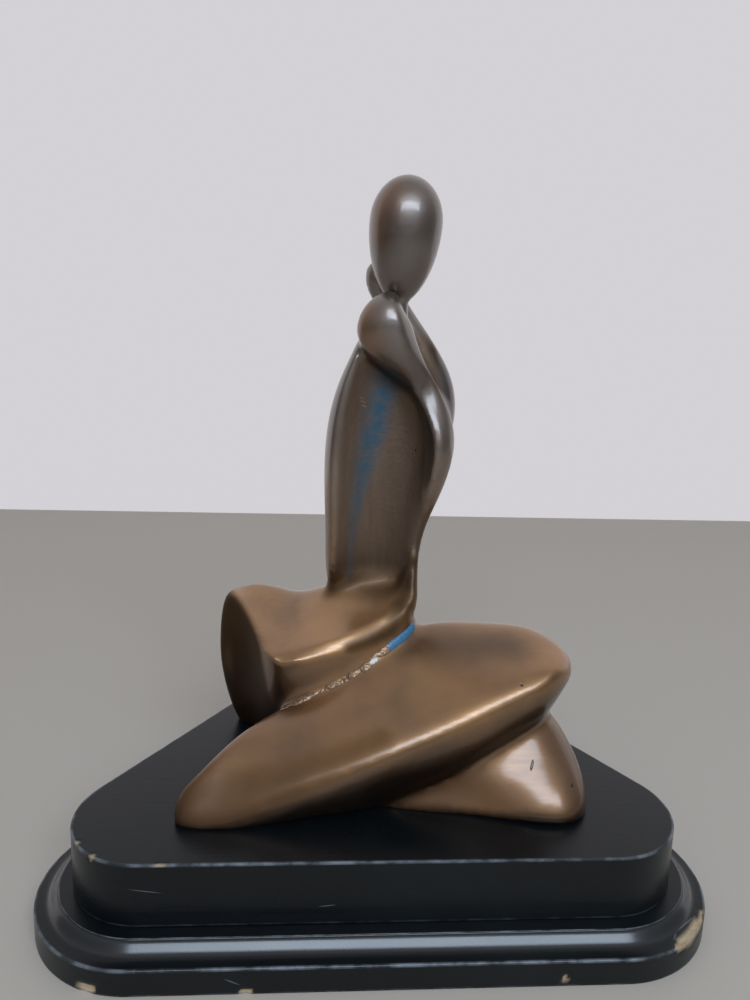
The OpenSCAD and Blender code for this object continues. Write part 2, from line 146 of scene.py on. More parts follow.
# Shares of the weld's route: its rise, the end of its grit and the start of the glaze
WELD_RISE, GRIT_END, GLAZE_SHAPE, GLAZE_COLOUR = (0, 0.2), (0.72, 0.78), (0.76, 0.82), (0.75, 0.78)

# Small damage, in millimetres: place, half sizes and turn about the three axes in degrees
BRONZE_NICKS = (
    ((56.9, -72.7, 91.2), (0.8, 3, 0.4), (0, 20, 0)), ((61.6, -77.9, 59.7), (0.5, 4, 1.9), (0, 25, 0)),
    ((77.5, -79, 52.3), (1.0, 6, 0.6), (0, -30, 0)), ((15.4, -28, 180.8), (0.3, 3, 0.5), (0, 0, 0)),
    ((16.8, -28, 172.1), (0.3, 3, 0.35), (0, 0, 0)))
TOOL_MARKS = (
    ((-8.6, -28, 203.1), (1.7, 4, 0.35), (0, 20, 0)), ((-8.1, -28, 201.3), (1.7, 4, 0.35), (0, 20, 0)),
    ((-7.5, -28, 199.5), (1.5, 4, 0.35), (0, 20, 0)))
WHITE_FLECK = (((-1.6, -51.6, 92.6), (2.4, 3, 1.3), (0, -30, 0)),)
PAINT_SCRATCHES = (
    ((-85, -108.2, 29.6), (6, 1, 0.2), (0, 8, 0)), ((-52.4, -122.3, 5.2), (3, 1, 0.25), (0, 25, 0)),
    ((-20, -108.2, 22.5), (3.2, 1, 0.2), (0, -6, 0)), ((116.7, -106.5, 12.5), (8, 0.3, 3), (0, 0, 36)),
    ((109, -112.8, 12.5), (2.4, 0.3, 3), (0, 0, 50)))
CHIPS = (
    ((-113, -95.4, 40), (1.1, 1.1, 1.4)), ((-104.9, -103.2, 39.8), (1.5, 1.5, 1.3)),
    ((-79.5, -108.2, 39.8), (2.4, 1.2, 0.7)), ((-103.2, -119.8, 1.6), (4, 2.6, 2.2)),
    ((-47.5, -122.3, 0.8), (3, 1.4, 1.1)), ((65.1, -122.3, 3), (1.3, 1.2, 1.2)))
# The long chip along the step's corner: place and half width
CHIPPED_CORNER = (
    (107.5, -118.2, 10.6, 1.2), (111, -116.2, 10.6, 2.8), (115.5, -113.2, 10.7, 3.4),
    (120, -109.2, 10.8, 3), (124, -104.6, 10.9, 2.2), (127.5, -99.8, 11, 1))
# Depth of the chips and spacing of their ragged edges
CHIP_DEPTH, CHIP_SPACING = 0.7, 2.2

# Reach of the boards' profiles over the flat faces, and the widest gap between points
FLAT_LIP, PROFILE_GAP = 3 * MM, 1.6 * MM
# Bores: pocket as a share of the stud's width, play around the fixings, run past a face
POCKET_SHARE = 2.8
STUD_PLAY, HEAD_PLAY, NECK_PLAY, SHANK_PLAY = MM, 0.5 * MM, 0.6 * MM, 0.2 * MM
RUN_PAST, SCREW_RUN_PAST = MM, 0.1 * MM
BORE_SEGMENTS = 48

# The stage, in metres and degrees
STAGE_REACH = 4.0
WINDOW_WIDTH, WINDOW_HEIGHT = 1.5, 0.5
WINDOW_PLACE, WINDOW_AIM = (0.2, -1.31, 1.1), (0.14, -0.03, 0.15)
CAMERA_PLACE, CAMERA_TURN = (-0.02077, -0.33323, 0.21284), (79.890, -1.596, -3.268)
SENSOR_HEIGHT, LENS = 36, 25.2
NEAR_CLIP = 0.01


def linear(code):
    """An sRGB hex colour as linear red, green, blue and alpha."""
    channels = [int(code[i:i + 2], 16) / 255 for i in (1, 3, 5)]
    return [c / 12.92 if c <= 0.04045 else ((c + 0.055) / 1.055) ** 2.4 for c in channels] + [1.0]


def colour_property(label, code, words):
    """A colour that a user would change, given as an sRGB hex value."""
    return FloatVectorProperty(
        name=label, description=words, subtype="COLOR", size=4, min=0, max=1, default=linear(code))


def length_property(label, millimetres, words):
    """A length that a user would change, given in millimetres."""
    return FloatProperty(name=label, description=words, unit="LENGTH", min=0, default=millimetres * MM)


class FigureSettings(bpy.types.PropertyGroup):
    """Sizes and colours of the bronze castings and their weld."""

    grain: length_property("Grain", 1.05, "Spacing of the points on a casting")
    swell: length_property("Swell", 0.4, "How far the body's castings swell to close their seams")
    weld_grain: length_property("Weld grain", 0.35, "Spacing of the points on the weld")
    puddle: length_property("Puddle", 1.4, "Radius of one puddle of the weld")
    polish: IntProperty(
        name="Polish", description="Rounds of smoothing that even out a casting", default=14, min=0)
    blend: IntProperty(
        name="Blend", description="Rounds of filling that round the inner corners", default=50, min=0)
    ease: IntProperty(
        name="Ease", description="Rounds of filing that take the edge off everything", default=5, min=0)
    filing: IntProperty(
        name="Filing", description="Rounds of filing along the ridges and the folds", default=70, min=0)
    low: colour_property("Low patina", "#846244", "Warm brown of the foot")
    patina: colour_property("Patina", "#BE905F", "Waxed brown of the legs")
    upper: colour_property("Upper patina", "#857B74", "Greyer brown of the head and arms")
    ember: colour_property("Ember", "#8E7059", "Warmer brown on the head and the hand")
    rubbed: colour_property("Rubbed", "#CFB08A", "Golden metal on rubbed ridges")
    shade: colour_property("Shade", "#5B4433", "Darker patina that is left in hollows")
    # Painted shade: the darkest colour, laid where shade falls under the limbs and in the creases
    deep: colour_property("Deep patina", "#2C2119", "Darkest patina, under the limbs")
    raw: colour_property("Raw", "#917E6D", "Unpolished metal inside the torso")
    stain: colour_property("Stain", "#215C74", "Blue stain in the torso and the groove")
    glaze: colour_property("Glaze", "#4A7FA3", "Lighter blue that fills the end of the groove")
    nick: colour_property("Nick", "#1E1611", "Dirt in nicks and pits")
    bead: colour_property("Bead", "#A68A70", "Bright metal of the weld")
    fleck: colour_property("Fleck", "#E9E8E4", "White fleck on the weld")


class BaseSettings(bpy.types.PropertyGroup):
    """Sizes and colours of the painted boards."""

    ledge: length_property("Ledge", 5.2, "Flat ledge around the plinth")
    fillet: length_property("Fillet", 0.4, "Drop from the ledge to the moulding")
    edge: length_property("Edge", 0.5, "Worn round on the edges")
    paint: colour_property("Paint", "#0B1013", "Satin black paint")
    # Pale edge grey: partly worn paint and partly a painted highlight along the rounded edges
    worn_and_glinting: colour_property("Worn paint", "#8C959C", "Thin paint on rubbed edges")
    dust: colour_property("Dust", "#24292B", "Haze of dust on the paint")
    timber: colour_property("Timber", "#D6C3A4", "Bare wood in the chips")
    heart: colour_property("Heart", "#A98C66", "Darker fibres of the bare wood")
    zinc: colour_property("Zinc", "#B9BBB8", "Plating of the fixings")


class StageSettings(bpy.types.PropertyGroup):
    """Floor, backdrop, room light and window lamp."""

    floor: colour_property("Floor", "#CCC2B4", "Pale floor")
    wall: colour_property("Wall", "#D3D1D5", "Pale backdrop")
    window: colour_property("Window", "#D3E4F8", "Daylight of the window lamp")
    horizon: colour_property("Horizon", "#55575C", "Room light at eye level")
    zenith: colour_property("Zenith", "#B4B5B9", "Room light from above")
    distance: length_property("Distance", 725.0, "Backdrop's distance behind the origin")
    power: FloatProperty(
        name="Window power", description="Power of the window lamp", default=17.5, unit="POWER")


def link(name, mesh):
    """A new object at the origin, shown in the scene."""
    piece = bpy.data.objects.new(name, mesh)
    bpy.context.scene.collection.objects.link(piece)
    return piece


def to_mesh(name, shape):
    """Ends a bmesh and hands over its mesh."""
    mesh = bpy.data.meshes.new(name)
    shape.to_mesh(mesh)
    shape.free()
    return mesh


def evaluated(piece):
    """The mesh that a piece's modifiers give."""
    graph = bpy.context.evaluated_depsgraph_get()
    return bpy.data.meshes.new_from_object(piece.evaluated_get(graph))


def freeze(piece):
    """Replaces a piece's mesh by the one that its modifiers give."""
    shaped = evaluated(piece)
    piece.modifiers.clear()
    piece.data = shaped
    shaped.name = piece.name


def dress(piece, material, slot, *nodes):
    """Gives a finished piece its material, hangs it under the root and hides the solids that it stands for.
    """
    piece.data.materials.clear()
    piece.data.materials.append(material)
    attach(piece, "root")
    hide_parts(*nodes)


def add(tree, kind, inputs=None, **settings):
    """Adds a node, applies its settings, and fills its sockets with values or links."""
    node = tree.nodes.new(kind)
    for name, value in settings.items():
        setattr(node, name, value)
    for socket, value in (inputs or {}).items():
        if isinstance(value, bpy.types.NodeSocket):
            tree.links.new(value, node.inputs[socket])
        else:
            node.inputs[socket].default_value = value
    return node


def new_material(name):
    """An empty material with its tree, its shader and the piece's own coordinates."""
    material = bpy.data.materials.new(name)
    material.use_nodes = True
    tree = material.node_tree
    shader = tree.nodes["Principled BSDF"]
    coords = add(tree, "ShaderNodeTexCoord").outputs["Object"]
    return material, tree, shader, coords


# Castings


def smooth_copy(node, swell):
    """A finely rounded copy of one solid, swollen a little so that it meets its neighbours."""
    shape = bmesh.new()
    shape.from_mesh(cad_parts[node].data)
    bmesh.ops.remove_doubles(shape, verts=shape.verts, dist=0.01 * MM)
    bmesh.ops.join_triangles(
        shape, faces=shape.faces, angle_face_threshold=math.radians(30),
        angle_shape_threshold=math.radians(50))
    work = link(node + "_copy", to_mesh(node + "_copy", shape))
    rounder = work.modifiers.new("Round", "SUBSURF")
    rounder.levels = rounder.render_levels = 2
    swollen = work.modifiers.new("Swell", "DISPLACE")
    swollen.mid_level = 0
    swollen.strength = swell
    mesh = evaluated(work)
    bpy.data.objects.remove(work)
    return mesh


def fuse(piece, grain):
    """Turns a piece's overlapping shapes into one skin."""
    fuser = piece.modifiers.new("Fuse", "REMESH")
    fuser.mode = "VOXEL"
    fuser.voxel_size = grain
    fuser.use_smooth_shade = True
    freeze(piece)


def fused_castings(name, nodes, grain, swell):
    """One skin around the named solids."""
    shape = bmesh.new()
    for node in nodes:
        mesh = smooth_copy(node, swell)
        shape.from_mesh(mesh)
        bpy.data.meshes.remove(mesh)
    piece = link(name, to_mesh(name, shape))
    fuse(piece, grain)
    return piece


class Skin:
    """A mesh's points with what is around each of them, for smoothing by hand."""

    def __init__(self, mesh):
        self.mesh = mesh
        points = np.empty(len(mesh.vertices) * 3, np.float32)
        mesh.vertices.foreach_get("co", points)
        self.points = points.reshape(-1, 3).astype(float)
        edges = np.empty(len(mesh.edges) * 2, np.int32)
        mesh.edges.foreach_get("vertices", edges)
        self.near = np.concatenate([edges[0::2], edges[1::2]])
        self.far = np.concatenate([edges[1::2], edges[0::2]])
        self.counts = np.maximum(np.bincount(self.near, minlength=len(self.points)), 1)

    def mean(self, values):
        """The mean of each point's neighbours."""
        columns = values.reshape(len(values), -1).T
        sums = [np.bincount(self.near, column[self.far], minlength=len(values)) for column in columns]
        return (np.stack(sums, 1) / self.counts[:, None]).reshape(values.shape)

    def normals(self):
        """The points' normals on the mesh as it was last stored."""
        normals = np.empty(len(self.points) * 3, np.float32)
        self.mesh.vertex_normals.foreach_get("vector", normals)
        return normals.reshape(-1, 3).astype(float)

    def store(self):
        """Moves the mesh's points to where they are now."""
        self.mesh.vertices.foreach_set("co", self.points.astype(np.float32).ravel())
        self.mesh.update()

    def polish(self, rounds):
        """Evens out the points without shrinking: each round smooths, then swells back."""
        for _ in range(rounds):
            for pull in (0.5, -0.53):
                self.points += pull * (self.mean(self.points) - self.points)
        self.store()

    def blend(self, rounds):
        """Fills inner corners to soft fillets, and leaves ridges alone."""
        for turn in range(rounds):
            if turn % 10 == 0:
                self.store()
                normals = self.normals()
            move = self.mean(self.points) - self.points
            out = np.maximum(np.einsum("ij,ij->i", move, normals), 0)
            self.points += 0.5 * out[:, None] * normals
        self.store()

    def soften(self, share, rounds):
        """Smooths plainly where the share says so, as filing does."""
        for _ in range(rounds):
            self.points += 0.5 * share[:, None] * (self.mean(self.points) - self.points)
        self.store()

    def relief(self, rounds):
        """How far each point stands out of the surface around it, in millimetres."""
        around = self.points
        for _ in range(rounds):
            around = self.mean(around)
        height = np.einsum("ij,ij->i", self.points - around, self.normals()) / MM
        return self.mean(self.mean(height))

    def mark(self, name, values):
        """Stores one number for each point."""
        layer = self.mesh.attributes.new(name, "FLOAT", "POINT")
        layer.data.foreach_set("value", values.astype(np.float32))


def soft_step(values, start, end):
    """A soft step from 0 at start to 1 at end."""
    share = np.clip((values - start) / (end - start), 0, 1)
    return share * share * (3 - 2 * share)


def hollow_share(skin):
    """Where the torso is scooped out and was never polished: deep, facing front, above the lap."""
    points = skin.points / MM
    deep = soft_step(points[:, 1], *HOLLOW_DEPTH)
    front = soft_step(-skin.normals()[:, 1], 0.2, 0.6)
    between = soft_step(points[:, 2], *HOLLOW_FOOT) * soft_step(points[:, 2], *HOLLOW_TOP)
    inside = soft_step(points[:, 0] - np.interp(points[:, 2], *zip(*TORSO_EDGE)), *HOLLOW_LEFT)
    return deep * front * between * inside * soft_step(points[:, 0], *HOLLOW_RIGHT)


def stretches(points, route):
    """For each stretch of a route: its ends, how far along it each point is, and how near to it."""
    for start, end in zip(route, route[1:]):
        span = np.subtract(end[:3], start[:3])
        t = np.clip((points - start[:3]) @ span / (span @ span), 0, 1)
        gap = np.linalg.norm(points - start[:3] - t[:, None] * span, axis=1)
        yield start, end, t, 1 - gap / (start[3] + t * (end[3] - start[3]))


def along(points, route):
    """How near each point is to a route: 1 on its line, 0 at its half width and beyond."""
    share = np.zeros(len(points))
    for _, _, _, near in stretches(points, route):
        share = np.maximum(share, near)
    return share


def beside(points, routes, full):
    """How much each point belongs to the nearest of some routes, wholly so from the full share on."""
    return np.maximum.reduce([soft_step(along(points, route), 0, full) for route in routes])


def lean(skin, route):
    """Pushes the points beside a route along y, by the route's own amounts."""
    points = skin.points / MM
    best, push = np.zeros(len(points)), np.zeros(len(points))
    for start, end, t, near in stretches(points, route):
        share = soft_step(near, 0, 0.7)
        nearer = share > best
        best[nearer] = share[nearer]
        push[nearer] = (share * (start[4] + t * (end[4] - start[4])))[nearer]
    push *= soft_step(-skin.normals()[:, 1], -0.1, 0.5)
    for _ in range(LEAN_ROUNDS):
        push = skin.mean(push)
    skin.points[:, 1] += push * MM
    skin.store()


def marks(tree, coords, spots):
    """A mask of small ellipsoid spots, each given by its place, half sizes and turn."""
    mask = None
    for place, sizes, turn in spots:
        inside = add(tree, "ShaderNodeMapping", {
            "Vector": coords, "Location": [c * MM for c in place],
            "Rotation": [math.radians(a) for a in turn], "Scale": [s * MM for s in sizes]},
            vector_type="TEXTURE")
        reach = add(tree, "ShaderNodeVectorMath", {0: inside.outputs[0]}, operation="LENGTH")
        spot = add(tree, "ShaderNodeMapRange", {
            "Value": reach.outputs["Value"], "From Min": 1.1, "From Max": 0.6}).outputs[0]
        if mask is None:
            mask = spot
        else:
            mask = add(tree, "ShaderNodeMath", {0: mask, 1: spot}, operation="MAXIMUM").outputs[0]
    return mask


def bronze(settings):
    """Cast bronze, satin-polished, browned and waxed.

    The metal tints what it mirrors, the wax adds a thin white gloss, and rubbed ridges are golden."""
    material, tree, shader, coords = new_material("patinated_bronze")
    relief, hollow, stain, painted_shade, dull, warm = [
        add(tree, "ShaderNodeAttribute", attribute_name=name).outputs["Fac"]
        for name in ("relief", "hollow", "stain", "painted_shade", "dull", "warm")]
    nicks = marks(tree, coords, BRONZE_NICKS)
    dashes = marks(tree, coords, TOOL_MARKS)

    # Brown at the legs, greyer towards the head, cloudy where the heat of the torch took differently
    place = add(tree, "ShaderNodeSeparateXYZ", {0: coords})
    leg, arm = [
        add(tree, "ShaderNodeMapRange", {
            "Value": place.outputs["Z"], "From Min": low * MM, "From Max": high * MM}).outputs[0]
        for low, high in ((58, 112), (100, 190))]
    cloud = add(tree, "ShaderNodeTexNoise", {"Vector": coords, "Scale": 1 / (28 * MM), "Detail": 5.0})
    mottle = add(tree, "ShaderNodeMapRange", {
        "Value": cloud.outputs["Fac"], "From Min": 0.4, "From Max": 0.68, "To Max": 0.45})
    rub = add(tree, "ShaderNodeMapRange", {
        "Value": relief, "From Min": 0.35, "From Max": 1.3, "To Max": 0.25})
    sunk = add(tree, "ShaderNodeMapRange", {
        "Value": relief, "From Min": -0.2, "From Max": -0.9, "To Max": 0.55})
    flakes = add(tree, "ShaderNodeTexNoise", {"Vector": coords, "Scale": 1 / (6 * MM), "Detail": 5.0})
    flaked = add(tree, "ShaderNodeMapRange", {
        "Value": flakes.outputs["Fac"], "From Min": 0.35, "From Max": 0.65, "To Min": 0.45, "To Max": 0.85})
    blue = add(tree, "ShaderNodeMath", {0: stain, 1: flaked.outputs[0]}, operation="MULTIPLY")
    streaks = add(tree, "ShaderNodeMapping", {
        "Vector": coords, "Scale": (1 / (2.5 * MM), 1 / (2.5 * MM), 1 / (18 * MM))})
    streaky = add(tree, "ShaderNodeTexNoise", {"Vector": streaks.outputs[0], "Scale": 1.0, "Detail": 4.0})
    streaked = add(tree, "ShaderNodeMapRange", {
        "Value": streaky.outputs["Fac"], "To Min": 0.25, "To Max": 0.65})
    bare = add(tree, "ShaderNodeMix", {
        0: streaked.outputs[0], 6: settings.raw, 7: settings.shade}, data_type="RGBA")
    # Layers of colour; the painted_shade mark lays painted shade in the darkest colour
    skin = settings.low
    for share, colour in (
            (leg, settings.patina), (arm, settings.upper), (warm, settings.ember),
            (mottle.outputs[0], settings.shade), (sunk.outputs[0], settings.shade),
            (rub.outputs[0], settings.rubbed),
            (hollow, bare.outputs[2]), (blue.outputs[0], settings.stain), (painted_shade, settings.deep),
            (nicks, settings.nick), (dashes, settings.bead)):
        skin = add(tree, "ShaderNodeMix", {0: share, 6: skin, 7: colour}, data_type="RGBA").outputs[2]
    tree.links.new(skin, shader.inputs["Base Color"])
    metal = add(tree, "ShaderNodeMapRange", {"Value": blue.outputs[0], "To Min": 1.0, "To Max": 0.6})
    tree.links.new(metal.outputs[0], shader.inputs["Metallic"])

    # Satin metal under clear wax; fine polishing lines run along the limbs
    lines = add(tree, "ShaderNodeMapping", {
        "Vector": coords, "Scale": (1 / (16 * MM), 1 / (0.9 * MM), 1 / (0.9 * MM))})
    brushed = add(tree, "ShaderNodeTexNoise", {"Vector": lines.outputs[0], "Scale": 1.0, "Detail": 3.0})
    rough = add(tree, "ShaderNodeMapRange", {
        "Value": brushed.outputs["Fac"], "From Min": 0.3, "From Max": 0.7,
        "To Min": 0.4, "To Max": 0.5}).outputs[0]
    for share, value in ((hollow, 0.52), (blue.outputs[0], 0.6), (dull, 0.6), (nicks, 0.8)):
        rough = add(tree, "ShaderNodeMix", {0: share, 2: rough, 3: value}).outputs[0]
    tree.links.new(rough, shader.inputs["Roughness"])
    bald = add(tree, "ShaderNodeMath", {0: dull, 1: hollow}, operation="MAXIMUM")
    wax = add(tree, "ShaderNodeMapRange", {"Value": bald.outputs[0], "To Min": 1.0, "To Max": 0.0})
    tree.links.new(wax.outputs[0], shader.inputs["Coat Weight"])
    shader.inputs["Coat Roughness"].default_value = 0.18
    shader.inputs["Coat IOR"].default_value = 1.55

    # Heights in millimetres: slow waves of hand polishing, grit in the bare hollow, nicks
    wave = add(tree, "ShaderNodeTexNoise", {"Vector": coords, "Scale": 1 / (14 * MM), "Detail": 1.0})
    grit = add(tree, "ShaderNodeTexNoise", {"Vector": coords, "Scale": 1 / (1.6 * MM), "Detail": 4.0})
    gritty = add(tree, "ShaderNodeMath", {0: hollow, 1: grit.outputs["Fac"]}, operation="MULTIPLY")
    tall = add(tree, "ShaderNodeMath", {0: wave.outputs["Fac"], 1: 0.12}, operation="MULTIPLY").outputs[0]
    for share, amount in (
            (gritty.outputs[0], 0.14), (brushed.outputs["Fac"], 0.006), (nicks, -0.15), (dashes, 0.15)):
        tall = add(tree, "ShaderNodeMath", {
            0: share, 1: amount, 2: tall}, operation="MULTIPLY_ADD").outputs[0]
    bump = add(tree, "ShaderNodeBump", {"Strength": 1.0, "Distance": MM, "Height": tall})
    tree.links.new(bump.outputs[0], shader.inputs["Normal"])
    tree.links.new(bump.outputs[0], shader.inputs["Coat Normal"])
    return material


def finish_shape(skin, settings):
    """Polishes a casting, fills its inner corners, files its ridges and leans its faces."""
    skin.polish(settings.polish)
    skin.soften(np.full(len(skin.points), 0.5), settings.ease)
    skin.blend(settings.blend)
    for route in (LAP_SEAM, FRONT_RIDGE, LAP_EDGE, ARM_VALLEY):
        skin.soften(beside(skin.points / MM, [route], 0.6), settings.filing)
    for route in (ARM_LEAN, UNDER_LEAN, HAND_FILL):
        lean(skin, route)
    above = soft_step(skin.points[:, 2] / MM, *FOOT_EDGE)
    skin.soften(above * beside(skin.points / MM, [UNDER_FACE], 0.6), settings.filing)
    skin.polish(settings.polish)


def mark_finish(skin):
    """Stores where a casting is rubbed, warm, bare, dull and stained, and where painted shade goes."""
    places, facing = skin.points / MM, skin.normals()
    # Painted shade goes on the knee's left face and on the legs' downward faces
    knee = beside(places, [KNEE_SIDE], 0.4) * soft_step(-facing[:, 0], 0.15, 0.5)
    for _ in range(KNEE_ROUNDS):
        knee = skin.mean(knee)
    under = soft_step(-facing[:, 2], -0.2, 0.35) * soft_step(places[:, 2], *LEG_SHADE_TOP)
    skin.mark("relief", skin.relief(RELIEF_ROUNDS))
    skin.mark("warm", beside(places, (WARM_HEAD, WARM_HAND), 1))
    skin.mark("hollow", hollow_share(skin))
    skin.mark("dull", np.maximum(
        knee, ROUTE_DULL * beside(places, (DULL_FOOT, DULL_UNDER, LAP_SEAM, LAP_FOLD), 0.7)))
    skin.mark("painted_shade", np.maximum.reduce([UNDER_PAINTED_SHADE * under, KNEE_PAINTED_SHADE * knee] + [
        share * beside(places, [route], 1) for share, route in PAINTED_SHADE_ROUTES]))
    skin.mark("stain", np.maximum(
        beside(places, [TORSO_STREAK], 1) * soft_step(places[:, 1], *STAIN_DEPTH),
        beside(places, [GROOVE_PATCH], 0.3)))


class STATUETTE_OT_castings(bpy.types.Operator):
    """Fuses and polishes the castings of the body, and rounds the head"""

    bl_idname = "statuette.castings"
    bl_label = "Castings"

    def execute(self, context):
        settings = context.scene.statuette_figure
        metal = bronze(settings)
        groups = {"welded_body": (BODY_CASTINGS, settings.swell), "head_and_neck": (("head",), 0)}
        for name, (nodes, swell) in groups.items():
            piece = fused_castings(name, nodes, settings.grain, swell)
            skin = Skin(piece.data)
            finish_shape(skin, settings)
            mark_finish(skin)
            dress(piece, metal, "bronze", *nodes)
        return {"FINISHED"}


# Weld


def weld_metal(settings):
    """Bronze filler left as it cooled: bright and grainy, with a dab of blue and a white fleck on it."""
    material, tree, shader, coords = new_material("raw_weld_bronze")
    share = add(tree, "ShaderNodeAttribute", attribute_name="route").outputs["Fac"]
    grain = add(tree, "ShaderNodeTexNoise", {"Vector": coords, "Scale": 1 / (0.9 * MM), "Detail": 4.0})
    burnt = add(tree, "ShaderNodeMapRange", {
        "Value": grain.outputs["Fac"], "From Min": 0.42, "From Max": 0.66, "To Max": 0.5})
    blue = add(tree, "ShaderNodeMapRange", {
        "Value": share, "From Min": GLAZE_COLOUR[0], "From Max": GLAZE_COLOUR[1]})
    fleck = marks(tree, coords, WHITE_FLECK)
    glaze = add(tree, "ShaderNodeMix", {
        0: burnt.outputs[0], 6: settings.glaze, 7: settings.stain}, data_type="RGBA")
    skin = settings.bead
    for mask, colour in (
            (burnt.outputs[0], settings.shade), (blue.outputs[0], glaze.outputs[2]),
            (fleck, settings.fleck)):
        skin = add(tree, "ShaderNodeMix", {0: mask, 6: skin, 7: colour}, data_type="RGBA").outputs[2]
    tree.links.new(skin, shader.inputs["Base Color"])
    covered = add(tree, "ShaderNodeMath", {0: blue.outputs[0], 1: fleck}, operation="MAXIMUM")
    metal = add(tree, "ShaderNodeMapRange", {"Value": covered.outputs[0], "To Min": 1.0, "To Max": 0.1})
    tree.links.new(metal.outputs[0], shader.inputs["Metallic"])
    rough = add(tree, "ShaderNodeMapRange", {
        "Value": grain.outputs["Fac"], "From Min": 0.3, "From Max": 0.7, "To Min": 0.36, "To Max": 0.6})
    tree.links.new(rough.outputs[0], shader.inputs["Roughness"])
    bump = add(tree, "ShaderNodeBump", {
        "Strength": 1.0, "Distance": 0.1 * MM, "Height": grain.outputs["Fac"]})
    tree.links.new(bump.outputs[0], shader.inputs["Normal"])
    return material


class STATUETTE_OT_weld(bpy.types.Operator):
    """Lays the weld along the groove as a row of puddles"""

    bl_idname = "statuette.weld"
    bl_label = "Weld"

    def execute(self, context):
        settings = context.scene.statuette_figure
        body = bpy.data.objects["welded_body"]
        shape = bmesh.new()
        noise.seed_set(WELD_SEED)
        puddles = STRETCH_PUDDLES * (len(WELD_ROUTE) - 1)
        for k in range(puddles + 1):
            stretch = min(k // STRETCH_PUDDLES, len(WELD_ROUTE) - 2)
            start, end = Vector(WELD_ROUTE[stretch]), Vector(WELD_ROUTE[stretch + 1])
            t = k / STRETCH_PUDDLES - stretch
            rise, glazed = soft_step(k / puddles, *WELD_RISE), soft_step(k / puddles, *GLAZE_SHAPE)
            centre = start.lerp(end, t) * MM
            found, spot, normal, _ = body.closest_point_on_mesh(centre)
            if not found:
                raise RuntimeError("the weld has no groove to lie in")
            lumpy = settings.puddle * (0.95 + 0.3 * noise.noise(centre / (LUMP_SPACING * MM)))
            size = float(lumpy * (0.5 + 0.5 * rise) * (1 - glazed) + GLAZE_RADIUS * MM * glazed)
            sway = SWAY * MM * float(1 - glazed) * noise.noise_vector(centre / (SWAY_SPACING * MM))
            turn = normal.to_track_quat("Z", "Y").to_matrix().to_4x4()
            place = Matrix.Translation(spot + sway) @ turn @ Matrix.Diagonal(PUDDLE_SHAPE)
            bmesh.ops.create_icosphere(shape, subdivisions=2, radius=size, matrix=place)
        bead = link("lap_weld_bead", to_mesh("lap_weld_bead", shape))
        fuse(bead, settings.weld_grain)
        skin = Skin(bead.data)
        skin.polish(WELD_ROUNDS)
        rough = np.array([noise.noise(Vector(p) / (GRIT_SPACING * MM)) for p in skin.points])
        first, last = np.array(WELD_ROUTE[0]), np.array(WELD_ROUTE[-1])
        share = (skin.points / MM - first) @ (last - first) / np.dot(last - first, last - first)
        rough *= 1 - soft_step(share, *GRIT_END)
        skin.points += GRIT * MM * rough[:, None] * skin.normals()
        skin.store()
        skin.mark("route", share)
        dress(bead, weld_metal(settings), "weld_bronze", "lap_weld")
        return {"FINISHED"}


# Base boards


def rounded(corners, radius, steps=4):
    """A profile with its sharp corners rounded: points of reach, height, and edge wear with a painted
    highlight.

    Each corner is (reach, height, edge wear and painted highlight), and a worn one becomes a small arc
    between two guards."""
    profile = []
    for i, (reach, height, wear_and_glint) in enumerate(corners):
        here = Vector((reach, height))
        if not wear_and_glint or i in (0, len(corners) - 1):
            profile.append((reach, height, 0.0))
            continue
        before = Vector(corners[i - 1][:2]) - here
        after = Vector(corners[i + 1][:2]) - here
        cut = min(radius, 0.45 * before.length, 0.45 * after.length)
        start = here + before.normalized() * cut
        end = here + after.normalized() * cut
        guard = min(2.2 * cut, 0.48 * before.length)
        profile.append((*(here + before.normalized() * guard), 0.0))
        for k in range(steps + 1):
            t = k / steps
            point = start * (1 - t) ** 2 + here * 2 * t * (1 - t) + end * t * t
            profile.append((*point, wear_and_glint))
        guard = min(2.2 * cut, 0.48 * after.length)
        profile.append((*(here + after.normalized() * guard), 0.0))
    return profile


def filled_out(profile, longest):
    """A profile with points added wherever two of them are further apart than the longest gap."""
    points = [profile[0]]
    for here, after in zip(profile, profile[1:]):
        cuts = math.ceil(math.dist(here[:2], after[:2]) / longest)
        points += [tuple(h + (a - h) * k / cuts for h, a in zip(here, after)) for k in range(1, cuts + 1)]
    return points


